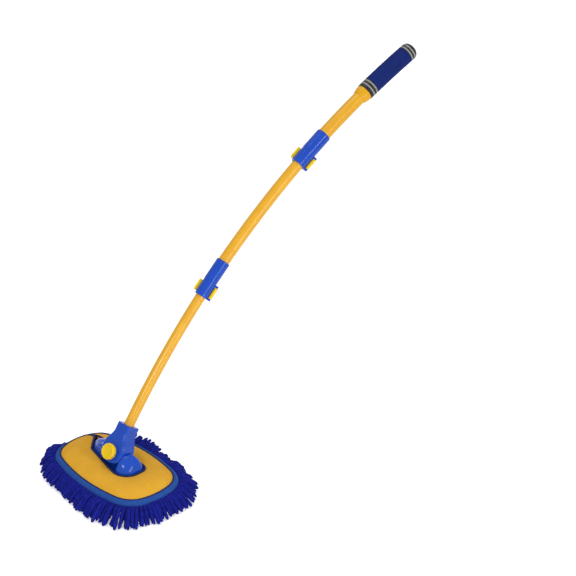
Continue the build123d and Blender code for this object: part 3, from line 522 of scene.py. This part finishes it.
def makeCover(c):
    inner, slit = openingPath(keyhole)

    def meetEdge(start):
        line = start + np.linspace(0, c["lipReach"], c["lipSteps"])[:, None] * slit
        gaps = np.sqrt(((line[:, None] - edgeLoop[None, ::2]) ** 2).sum(2)).min(1)
        return line[int(np.argmin(gaps))]

    nearEnd, farEnd = meetEdge(inner[0]), meetEdge(inner[-1])
    shares = np.arange(len(edgeLoop)) / len(edgeLoop)
    first = shares[int(np.argmin(((edgeLoop - nearEnd) ** 2).sum(1)))]
    last = shares[int(np.argmin(((edgeLoop - farEnd) ** 2).sum(1)))]
    run = last + 1 - first if last < first else last - first
    outer = edgePoints(first + np.linspace(0, run, c["columns"]), -c["edgeInset"])[:, :2]
    middle = np.array(c["middle"])
    innerTurn = np.unwrap(np.arctan2(*(inner - middle).T[::-1]))
    outerTurn = np.unwrap(np.arctan2(*(outer - middle).T[::-1]))
    innerTurn += 2 * math.pi * round((outerTurn[0] - innerTurn[0]) / (2 * math.pi))
    along = np.linspace(0, run * outlineLength, c["columns"])
    nearFirst = np.exp(-(along / c["mouthBlend"]) ** 2)
    nearLast = np.exp(-((along[-1] - along) / c["mouthBlend"]) ** 2)
    turn = (outerTurn + (innerTurn[0] - outerTurn[0]) * nearFirst
            + (innerTurn[-1] - outerTurn[-1]) * nearLast)
    turn = np.maximum.accumulate(turn)
    matched = np.stack([np.interp(turn, innerTurn, inner[:, k]) for k in (0, 1)], 1)
    t = np.linspace(0, 1, c["rows"])[None, :, None]
    plan = matched[:, None, :] * (1 - t) + outer[:, None, :] * t
    x, y = plan[..., 0], plan[..., 1]
    z = crownHeight(x, y)
    swell = np.sin(np.linspace(0, math.pi, c["rows"]))[None, :] ** c["puffPower"]
    top = np.stack([x, y, z + c["puff"] * swell - c["sunk"]], 2)
    bottom = np.stack([x, y, np.full_like(z, pad["coverFloor"] + c["floorGap"])], 2)
    count = c["columns"] * c["rows"]
    faces = gridFaces(c["columns"], c["rows"])
    under = [tuple(i + count for i in f[::-1]) for f in faces]
    lastColumn, lastRow = c["columns"] - 1, c["rows"] - 1
    ring = (list(range(c["rows"]))
            + [i * c["rows"] + lastRow for i in range(1, c["columns"])]
            + [lastColumn * c["rows"] + j for j in range(lastRow - 1, -1, -1)]
            + [i * c["rows"] for i in range(lastColumn - 1, 0, -1)])
    sides = [(ring[k], ring[k - 1], ring[k - 1] + count, ring[k] + count) for k in range(len(ring))]
    points = np.concatenate([top.reshape(-1, 3), bottom.reshape(-1, 3)])
    piece = makeMesh("paddedCover", points, faces + under + sides)
    held = piece.vertex_groups.new(name="sewn")
    seam = set(ring)
    held.add([i for i in range(len(points)) if i >= count or i in seam], 1.0, "REPLACE")
    cloth = piece.modifiers.new("swell", "CLOTH")
    cloth.settings.vertex_group_mass = "sewn"
    cloth.settings.use_pressure = True
    cloth.settings.uniform_pressure_force = c["pressure"]
    cloth.settings.effector_weights.gravity = 0.0
    cloth.settings.quality = c["quality"]
    cloth.collision_settings.use_collision = False
    for step in range(1, c["frames"] + 1):
        bpy.context.scene.frame_set(step)
    swollen = piece.evaluated_get(bpy.context.evaluated_depsgraph_get()).to_mesh()
    moved = np.array([v.co for v in swollen.vertices]) / mm
    gap = moved - points
    reach = np.maximum(np.sqrt((gap ** 2).sum(1, keepdims=True)), 1e-9)
    gap *= np.minimum(1.0, c["mostSwell"] / reach)
    piece.modifiers.remove(cloth)
    piece.data.vertices.foreach_set("co", ((points + gap) * mm).ravel())
    piece.vertex_groups.clear()
    bpy.context.scene.frame_set(1)
    print("cover swelled by up to", round(float(np.abs(gap[:, 2]).max()), 2), "mm")
    finishPiece(piece, "knit", "yellow_fabric", "head", "cover_top", "pad_foam")
    return nearEnd, farEnd


nearEnd, farEnd = makeCover(cover)
print("padded cover made")


piping = {
    "halfWidth": 2.3, "halfHeight": 2.0, "inset": 1.7, "lift": 0.3, "sides": 14,
    "density": 1.9,   # rings for each point round the opening
}


# a tube of oval section along a 3-D run of points
def tubeAlong(path, halfWidth, halfHeight, sides, closed=False):
    rings = []
    turns = np.linspace(0, 2 * math.pi, sides, endpoint=False)
    for i in range(len(path)):
        if closed:
            along = path[(i + 1) % len(path)] - path[i - 1]
        else:
            along = path[min(i + 1, len(path) - 1)] - path[max(i - 1, 0)]
        along = along / np.linalg.norm(along)
        across = np.cross(along, (0, 0, 1))
        across /= np.linalg.norm(across)
        above = np.cross(across, along)
        rings.append(path[i] + halfWidth * np.cos(turns)[:, None] * across
                     + halfHeight * np.sin(turns)[:, None] * above)
    return sweep(rings, closed)


def makePiping(p):
    inner, _ = openingPath(keyhole)
    run = np.concatenate([[nearEnd], inner, [farEnd]])
    run = evenly(run, int(len(inner) * p["density"]))
    ahead = np.gradient(run, axis=0)
    normal = np.stack([ahead[:, 1], -ahead[:, 0]], 1) / np.hypot(*ahead.T)[:, None]
    run = run - normal * p["inset"]   # towards the opening
    z = crownHeight(run[:, 0], run[:, 1]) + p["lift"]
    path = np.column_stack([run, z])
    points, faces = tubeAlong(path, p["halfWidth"], p["halfHeight"], p["sides"])
    finishPiece(makeMesh("openingPiping", points, faces), "piping", "navy_piping", "head",
                "opening_binding")


makePiping(piping)
print("opening piping made")


cheeks = {
    "innerFace": 30.9,       # the neck turns between the two inner faces
    "foot": 33.0, "base": 48.0,
    "points": 90, "rings": 26,
    "narrowest": 1.0,        # a ring that reaches less far past the inner face is left out
    "leftTop": 83.0,
    "leftPlan": ((-15.0, -18.3), (-62.0, -6.1), (-82.0, 14.0), (-74.0, 25.0), (-15.0, 25.0)),
    "leftRadii": (0.0, 10.0, 9.0, 12.0, 0.0),
    "leftFullness": ((2.1, 2.1), (2.2, 2.2)),   # powers of rise and width, along and across
    "rightTop": 87.0,
    "rightPlan": ((15.0, 28.4), (61.0, 28.4), (61.0, -37.8), (15.0, -26.0)),
    "rightRadii": (0.0, 14.0, 30.0, 0.0),
    "rightFullness": ((2.3, 2.3), (1.7, 2.0)),
}


# a domed cover over one end of the hinge, its plan drawn in towards the hinge as it rises
def makeCheek(c, side, name, node):
    loop, _ = roundedLoop(c[side + "Plan"], c[side + "Radii"])
    climb = c[side + "Top"] - c["base"]
    way = 1 if side == "right" else -1
    (riseAlong, widthAlong), (riseAcross, widthAcross) = c[side + "Fullness"]
    rises = np.sin(np.linspace(0, math.pi / 2, c["rings"])[:-1])
    rings = []
    for height, rise in [(c["foot"], 0.0)] + [(c["base"] + r * climb, r) for r in rises]:
        along = (1 - rise ** riseAlong) ** (1 / widthAlong)
        across = (1 - rise ** riseAcross) ** (1 / widthAcross)
        plan = loop * (along, across)
        beyond = way * plan[:, 0] - c["innerFace"]
        if beyond.max() < c["narrowest"]:
            break
        first, last = np.flatnonzero(beyond > 0)[[0, -1]]
        ends = []
        for a, b in ((first - 1, first), (last, last + 1)):
            a, b = a % len(plan), b % len(plan)
            t = beyond[a] / (beyond[a] - beyond[b])
            ends.append(plan[a] + t * (plan[b] - plan[a]))
        run = evenly(np.vstack([ends[0], plan[first:last + 1], ends[1]]), c["points"])
        rings.append(np.column_stack([run, np.full(len(run), height)]))
    points, faces = sweep(rings, False)
    finishPiece(makeMesh(name, points, faces), "bluePlastic", "blue_plastic", "head", node)


makeCheek(cheeks, "left", "leftCheek", "left_cheek_cap")
makeCheek(cheeks, "right", "rightCheek", "right_cheek_cap")
print("cheeks made")


rim = {
    "columns": 420,
    "tape": ((0.6, 38.2), (0.9, 40.0), (2.6, 40.9), (5.2, 40.2), (8.0, 38.2), (10.2, 35.2),
             (11.2, 31.8), (11.0, 28.9), (8.5, 28.4), (1.0, 28.6)),
    "tapePoints": 26, "tapeWidth": 11.0,
    "pucker": 0.25, "puckers": 96, "puckerFrom": 3.0,
    "tuckedAt": (0.475, 0.055), "tucked": 0.6,   # where the tape is drawn in by the slit, how much
    "cordRadius": 1.35, "cordOut": 0.2, "cordHeight": 40.5, "cordSides": 10,
}


# 1 at a place on the outline, fading to 0 away from it
def nearness(share, place):
    return math.exp(-((share % 1.0 - place[0]) / place[1]) ** 4)


def makeRim(r):
    shares = np.linspace(0, 1, r["columns"], endpoint=False)
    rings = []
    profile = evenly(np.array(r["tape"], float), r["tapePoints"], closed=True)
    for share in shares:
        wave = 1 + r["pucker"] / r["tapeWidth"] * math.sin(2 * math.pi * r["puckers"] * share)
        x, y, angle = edgePoints(share)[0]
        wave *= 1 - r["tucked"] * nearness(share, r["tuckedAt"])
        out = profile[:, 0] * np.where(profile[:, 0] > r["puckerFrom"], wave, 1.0)
        rings.append(np.column_stack(
            [x + out * math.cos(angle), y + out * math.sin(angle), profile[:, 1]]))
    points, faces = sweep(rings, True)
    tape = makeMesh("rimTape", points, faces)
    finishPiece(tape, "tape", "blue_binding", "head", "rim_binding")
    edge = edgePoints(shares, r["cordOut"])
    path = np.column_stack([edge[:, :2], np.full(len(edge), r["cordHeight"])])
    points, faces = tubeAlong(path, r["cordRadius"], r["cordRadius"], r["cordSides"], closed=True)
    finishPiece(makeMesh("rimCord", points, faces), "piping", "navy_piping", "head")


makeRim(rim)
print("rim made")


# what every noodle has, in the fringe and in the pile
yarn = {
    "draftPoints": 40, "softening": 10,
    "swell": 0.08, "swellTurn": 25,   # radians along the whole noodle
    "tip": (0.88, 0.5),         # share of the radius at the last two rings
    "uneven": 0.09,
    "upwards": (0.13, 0.07, 1.0),   # off the vertical, so that no noodle runs along it
}
noodles = {
    "seed": 7,
    "count": 108,
    "sides": 9, "rings": 15,
    "uneven": 0.12,
    # each row's place along the edge, in noodles, its root and reach out from the edge, its height,
    # how far it bulges up first, and its thickness
    "rows": (
        (0.0, 7.0, 35.0, 26.5, 5.0, 7.8),
        (0.5, 4.0, 33.0, 24.0, 2.5, 6.6),
        (0.25, -1.0, 24.0, 24.0, 0.0, 6.6),
    ),
    # points along a noodle: share of its reach, of its bulge and of its drop
    "shape": ((0.0, 0.0, 0.0), (0.16, 0.9, 0.0), (0.42, 1.0, 0.16),
              (0.74, 0.4, 0.56), (1.0, 0.0, 1.0)),
    "lowestTip": 3.0,
    "sway": 0.12, "tipSway": 2.5, "drift": 0.3,
    "tipShares": (1.0, 0.7, 0.3), "reachShares": (1.0, 0.9, 0.6),   # of "lie", for each row
    "clump": 3, "clumpDrift": 0.55,   # noodles that lean together, and how far, in noodles
    # how the fringe lies round the edge: share of the edge, extra reach, height of the tips,
    # and share of the bulge
    "lie": (
        (0.00, 0, 3, 1), (0.05, 5, 3, 1), (0.10, 8, 4, 1), (0.13, 7, 9, 1), (0.16, 3, 15, 1),
        (0.23, 0, 18, 1), (0.255, 0, 27, 1), (0.29, 0, 34, 1), (0.33, -2, 36, 1), (0.35, -8, 26, 1),
        (0.37, -20, 3, 0), (0.50, -20, 3, 0), (0.525, -8, 6, 0.6), (0.545, -2, 12, 2),
        (0.57, -1, 10, 2),
        (0.60, -1, 4, 1), (0.70, -3, 3, 1), (0.76, 1, 3, 1), (0.80, 7, 3, 1), (0.84, 13, 3, 1),
        (0.875, 15, 3, 1), (0.90, 13, 3, 1), (0.94, 5, 3, 1), (1.00, 0, 3, 1),
    ),
    "splits": (0.16, 0.36, 0.67, 0.86),
}


# one noodle with a round end, its pile a little uneven
def noodle(path, thickness, sides, chance, rings=11):
    path = evenly(np.array(path, float), yarn["draftPoints"])
    smooth = path.copy()
    for _ in range(yarn["softening"]):
        smooth[1:-1] = (smooth[:-2] + 2 * smooth[1:-1] + smooth[2:]) / 4
    path = evenly(smooth, rings)
    reach = np.linspace(0, 1, rings)
    wave = yarn["swell"] * np.sin(reach * yarn["swellTurn"] + chance.uniform(0, 6))
    radius = thickness / 2 * (1 + wave)
    radius[-2:] *= yarn["tip"]
    turns = np.linspace(0, 2 * math.pi, sides, endpoint=False) + chance.uniform(0, 1)
    made = []
    for i in range(rings):
        along = path[min(i + 1, rings - 1)] - path[max(i - 1, 0)]
        along = along / np.linalg.norm(along)
        across = np.cross(along, yarn["upwards"])
        across /= np.linalg.norm(across)
        above = np.cross(across, along)
        rough = [chance.uniform(-yarn["uneven"], yarn["uneven"]) for _ in range(sides)]
        r = radius[i] * (1 + np.array(rough))
        ring = (path[i] + (r * np.cos(turns))[:, None] * across
                + (r * np.sin(turns))[:, None] * above)
        ring[:, 2] = np.maximum(ring[:, 2], 0.0)    # pressed flat on the floor
        made.append(ring)
    return sweep(made, False)


def fringePath(n, index, row, lean, chance):
    offset, root, reach, top, bulge, _ = n["rows"][row]
    share = (index + offset) / n["count"]
    places, extra, tips, puffs = zip(*n["lie"])
    bulge *= np.interp(share % 1.0, places, puffs)
    tip = np.interp(share % 1.0, places, tips) * n["tipShares"][row]
    tip += chance.uniform(0, n["tipSway"])
    reach += np.interp(share % 1.0, places, extra) * n["reachShares"][row]
    reach *= 1 + chance.uniform(-n["sway"], n["sway"])
    drift = (lean + chance.uniform(-n["drift"], n["drift"])) / n["count"]
    points = []
    drop = top - max(tip, n["lowestTip"])
    for out, rise, fall in n["shape"]:
        x, y, _ = edgePoints(share + drift * out, root + reach * out)[0]
        points.append((x, y, top + bulge * rise - drop * fall))
    return points


def makeFringe(n):
    chance = random.Random(n["seed"])
    rows = len(n["rows"])
    leans = [chance.uniform(-n["clumpDrift"], n["clumpDrift"]) for _ in range(rows * n["count"])]
    breaks = [round(s * n["count"]) for s in n["splits"]]
    spans = list(zip(breaks, breaks[1:] + [breaks[0] + n["count"]]))
    names = ("fringe_far", "fringe_back_end", "fringe_near", "fringe_front_end")
    pieceNames = ("farNoodles", "backEndNoodles", "nearNoodles", "frontEndNoodles")
    for node, name, (first, last) in zip(names, pieceNames, spans):
        parts = []
        for index in range(first, last):
            for row in range(rows):
                lean = leans[(index // n["clump"]) * rows + row]
                path = fringePath(n, index, row, lean, chance)
                thickness = n["rows"][row][-1] * (1 + chance.uniform(-n["uneven"], n["uneven"]))
                parts.append(noodle(path, thickness, n["sides"], chance, n["rings"]))
        finishPiece(makeMesh(name, *joinParts(parts)), "chenille", "chenille", "head", node)


makeFringe(noodles)
print("fringe made")


pile = {
    "seed": 11,
    "pitch": 14.2, "thickness": 10.2, "inset": 9.0, "splitColumn": 3.5, "top": 26.0,
    "columns": 11, "rows": 7,    # tried either side of the middle
    "farthest": (125, 80),
    "lean": 3, "bend": 0.4, "bendHeight": 13, "highestTip": 0.8,
    "sides": 8, "rings": 7,
    "clothGrow": 8.0, "clothPoints": 240, "clothGap": 0.1,
}


def makePile(p):
    chance = random.Random(p["seed"])
    columnPitch = p["pitch"] * math.sin(math.radians(60))
    parts = {"pile_back_end": [], "pile_middle": [], "pile_front_end": []}
    farX, farY = p["farthest"]
    for column in range(-p["columns"], p["columns"] + 1):
        for row in range(-p["rows"], p["rows"] + 1):
            x, y = column * columnPitch, (row + 0.5 * (column % 2)) * p["pitch"]
            if inwards(x, y) < p["inset"] or abs(x) > farX or abs(y) > farY:
                continue
            side = "pile_middle" if abs(column) < p["splitColumn"] else (
                "pile_front_end" if column > 0 else "pile_back_end")
            lean = (chance.uniform(-p["lean"], p["lean"]), chance.uniform(-p["lean"], p["lean"]))
            run = [(x, y, p["top"]),
                   (x + lean[0] * p["bend"], y + lean[1] * p["bend"], p["bendHeight"]),
                   (x + lean[0], y + lean[1], chance.uniform(0.0, p["highestTip"]))]
            parts[side].append(noodle(run, p["thickness"], p["sides"], chance, p["rings"]))
    labels = {"pile_back_end": "backEndPile", "pile_middle": "middlePile",
              "pile_front_end": "frontEndPile"}
    for node, made in parts.items():
        finishPiece(makeMesh(labels[node], *joinParts(made)), "chenille", "chenille", "head", node)
    shares = np.linspace(0, 1, p["clothPoints"], endpoint=False)
    cloth = edgePoints(shares, p["clothGrow"])[:, :2]
    low = np.column_stack([cloth, np.full(len(cloth), p["top"])])
    high = np.column_stack([cloth, np.full(len(cloth), pad["backingTop"] - p["clothGap"])])
    points, faces = sweep([low, high], False)
    backing = makeMesh("backingCloth", points, faces, smooth=False)
    finishPiece(backing, "piping", "navy_piping", "head")


makePile(pile)
print("pile made")


pole = {"pitch": 59.0, "bow": 1545.0, "hingeHeight": 73.0}
grip = {
    "start": 938.0, "length": 102.0, "radius": 19.0, "bore": 14.1,
    "edge": 1.6, "edgePoints": 5,
    "ripple": 0.12, "rippleTurn": 0.9,   # radians for each mm
    "sides": 48, "rings": 60,
}


# centre, knob side and across directions at a distance along the pole
def poleFrame(station):
    tilt = math.radians(pole["pitch"]) - station / pole["bow"]
    turn = station / pole["bow"]
    y, z = pole["bow"] * math.sin(turn), pole["bow"] * (math.cos(turn) - 1)
    c, s = math.cos(math.radians(pole["pitch"])), math.sin(math.radians(pole["pitch"]))
    centre = np.array([0.0, y * c - z * s, pole["hingeHeight"] + y * s + z * c])
    return centre, np.array([0.0, -math.sin(tilt), math.cos(tilt)]), np.array([1.0, 0.0, 0.0])


def makeGrip(g):
    turns = np.linspace(0, 2 * math.pi, g["sides"], endpoint=False)
    profile = [(0.0, g["bore"]), (0.0, g["radius"] - g["edge"])]
    for a in np.linspace(0, math.pi / 2, g["edgePoints"])[1:]:
        profile.append((g["edge"] * (1 - math.cos(a)),
                        g["radius"] - g["edge"] + g["edge"] * math.sin(a)))
    for t in np.linspace(g["edge"], g["length"] - g["edge"], g["rings"])[1:-1]:
        profile.append((t, g["radius"] + g["ripple"] * math.sin(t * g["rippleTurn"])))
    for a in np.linspace(math.pi / 2, 0, g["edgePoints"]):
        profile.append((g["length"] - g["edge"] * (1 - math.cos(a)),
                        g["radius"] - g["edge"] + g["edge"] * math.sin(a)))
    profile.append((g["length"], g["bore"]))
    rings = []
    for along, radius in profile:
        centre, outwards, across = poleFrame(g["start"] + along)
        rings.append(centre + radius * (np.cos(turns)[:, None] * outwards
                                        + np.sin(turns)[:, None] * across))
    points, faces = sweep(rings, True)
    finishPiece(makeMesh("foamGrip", points, faces), "gripFoam", "navy_foam", "upper_section",
                "foam_grip")


makeGrip(grip)
print("grip made")


knob = {
    "floor": 19.8, "height": 9.5, "radius": 17.1, "round": 3.4, "sides": 144,
    "scallops": 12, "scallopDepth": 0.9, "dishRadius": 11.8, "dishDepth": 0.9,
    "socketRadius": 7.9, "socketDepth": 5.5,   # room for the screw's head
    "core": 0.3, "chamfer": 0.6, "scallopRun": 3, "roundPoints": 9, "dishPoints": 4,
}


def makeKnob(k):
    top, radius, edge = k["height"], k["radius"], k["round"]
    profile = [(k["socketDepth"], k["core"]), (k["socketDepth"], k["socketRadius"]),
               (0.0, k["socketRadius"]), (0.0, radius - k["chamfer"]), (k["chamfer"], radius),
               (top - edge, radius)]
    for a in np.linspace(0, math.pi / 2, k["roundPoints"])[1:]:
        profile.append((top - edge + edge * math.sin(a), radius - edge + edge * math.cos(a)))
    for a in np.linspace(0, math.pi / 2, k["dishPoints"]):
        drop = k["dishDepth"]
        profile.append((top - drop * math.sin(a), k["dishRadius"] + drop * math.cos(a)))
    profile.append((top - k["dishDepth"], k["core"]))
    turns = np.linspace(0, 2 * math.pi, k["sides"], endpoint=False)
    scallop = np.maximum(0, np.cos(k["scallops"] * turns)) ** 2 * k["scallopDepth"]
    centre, outwards, across = poleFrame(0.0)
    along = np.cross(across, outwards)
    rings = []
    for height, r in profile:
        reach = r - scallop * np.clip((r - k["dishRadius"]) / k["scallopRun"], 0, 1)
        rings.append(centre + (k["floor"] + height) * outwards
                     + reach[:, None] * (np.cos(turns)[:, None] * across
                                         + np.sin(turns)[:, None] * along))
    points, faces = sweep(rings, False)
    finishPiece(makeMesh("clampKnob", points, faces), "yellowPlastic", "yellow_plastic",
                "tilt_knob", "clamp_knob")


makeKnob(knob)
print("knob made")


studio = {
    "floorSize": 12.0, "floorColour": "#ffffff",
    "floorGlow": 0.45,     # seen directly, in reflections and through glass alone
    "worldLevel": 0.4,     # what the world gives to matt surfaces; seen directly it is full white
    # place, size, turn about its own axis, power; the strip gives the pole its long highlight
    "lamps": (
        ("sideStrip", (3.7, -0.1, 1.4), (0.34, 3.2), -50.0, 66.0),
        ("frontPanel", (1.0, -3.1, 2.35), (0.7, 0.7), 0.0, 42.0),
        ("topPanel", (-1.2, 1.0, 4.2), (2.4, 2.4), 0.0, 54.0),
    ),
    "aim": (0.0, 0.3, 0.3),
}


# 1 where a surface is seen directly, in a reflection or through glass
def whiteToTheEye(tree):
    rays = addNode(tree, "ShaderNodeLightPath")
    shown = rays.outputs["Is Camera Ray"]
    for other in ("Is Glossy Ray", "Is Transmission Ray"):
        shown = combined(tree, "MAXIMUM", shown, rays.outputs[other])
    return shown


def makeStudio(s):
    half = s["floorSize"] / 2 / mm
    corners = [(-half, -half, 0), (half, -half, 0), (half, half, 0), (-half, half, 0)]
    floor = makeMesh("floor", corners, [(0, 1, 2, 3)], smooth=False)
    material, tree, surface, _ = startMaterial("paintedFloor", Roughness=0.9, IOR=1.2)
    surface.inputs["Base Color"].default_value = linear(s["floorColour"])
    surface.inputs["Emission Color"].default_value = linear(s["floorColour"])
    glow = scaled(tree, whiteToTheEye(tree), s["floorGlow"])
    tree.links.new(glow, surface.inputs["Emission Strength"])
    floor.data.materials.append(material)
    world = bpy.data.worlds.new("studioWorld")
    world.use_nodes = True
    background = world.node_tree.nodes["Background"]
    background.inputs["Color"].default_value = (1, 1, 1, 1)
    level = addNode(world.node_tree, "ShaderNodeMapRange",
                    {"Value": whiteToTheEye(world.node_tree)}, To_Min=s["worldLevel"], To_Max=1.0)
    world.node_tree.links.new(level.outputs["Result"], background.inputs["Strength"])
    bpy.context.scene.world = world
    for name, place, (width, height), turn, power in s["lamps"]:
        data = bpy.data.lights.new(name, "AREA")
        data.shape = "RECTANGLE"
        data.size, data.size_y = width, height
        data.energy = power
        lamp = bpy.data.objects.new(name, data)
        aimed = (Vector(s["aim"]) - Vector(place)).to_track_quat("-Z", "Y").to_matrix().to_4x4()
        spin = Matrix.Rotation(math.radians(turn), 4, "Z")
        lamp.matrix_world = Matrix.Translation(place) @ aimed @ spin
        bpy.context.collection.objects.link(lamp)
    bpy.context.scene.view_settings.view_transform = "Standard"


makeStudio(studio)
print("studio made")
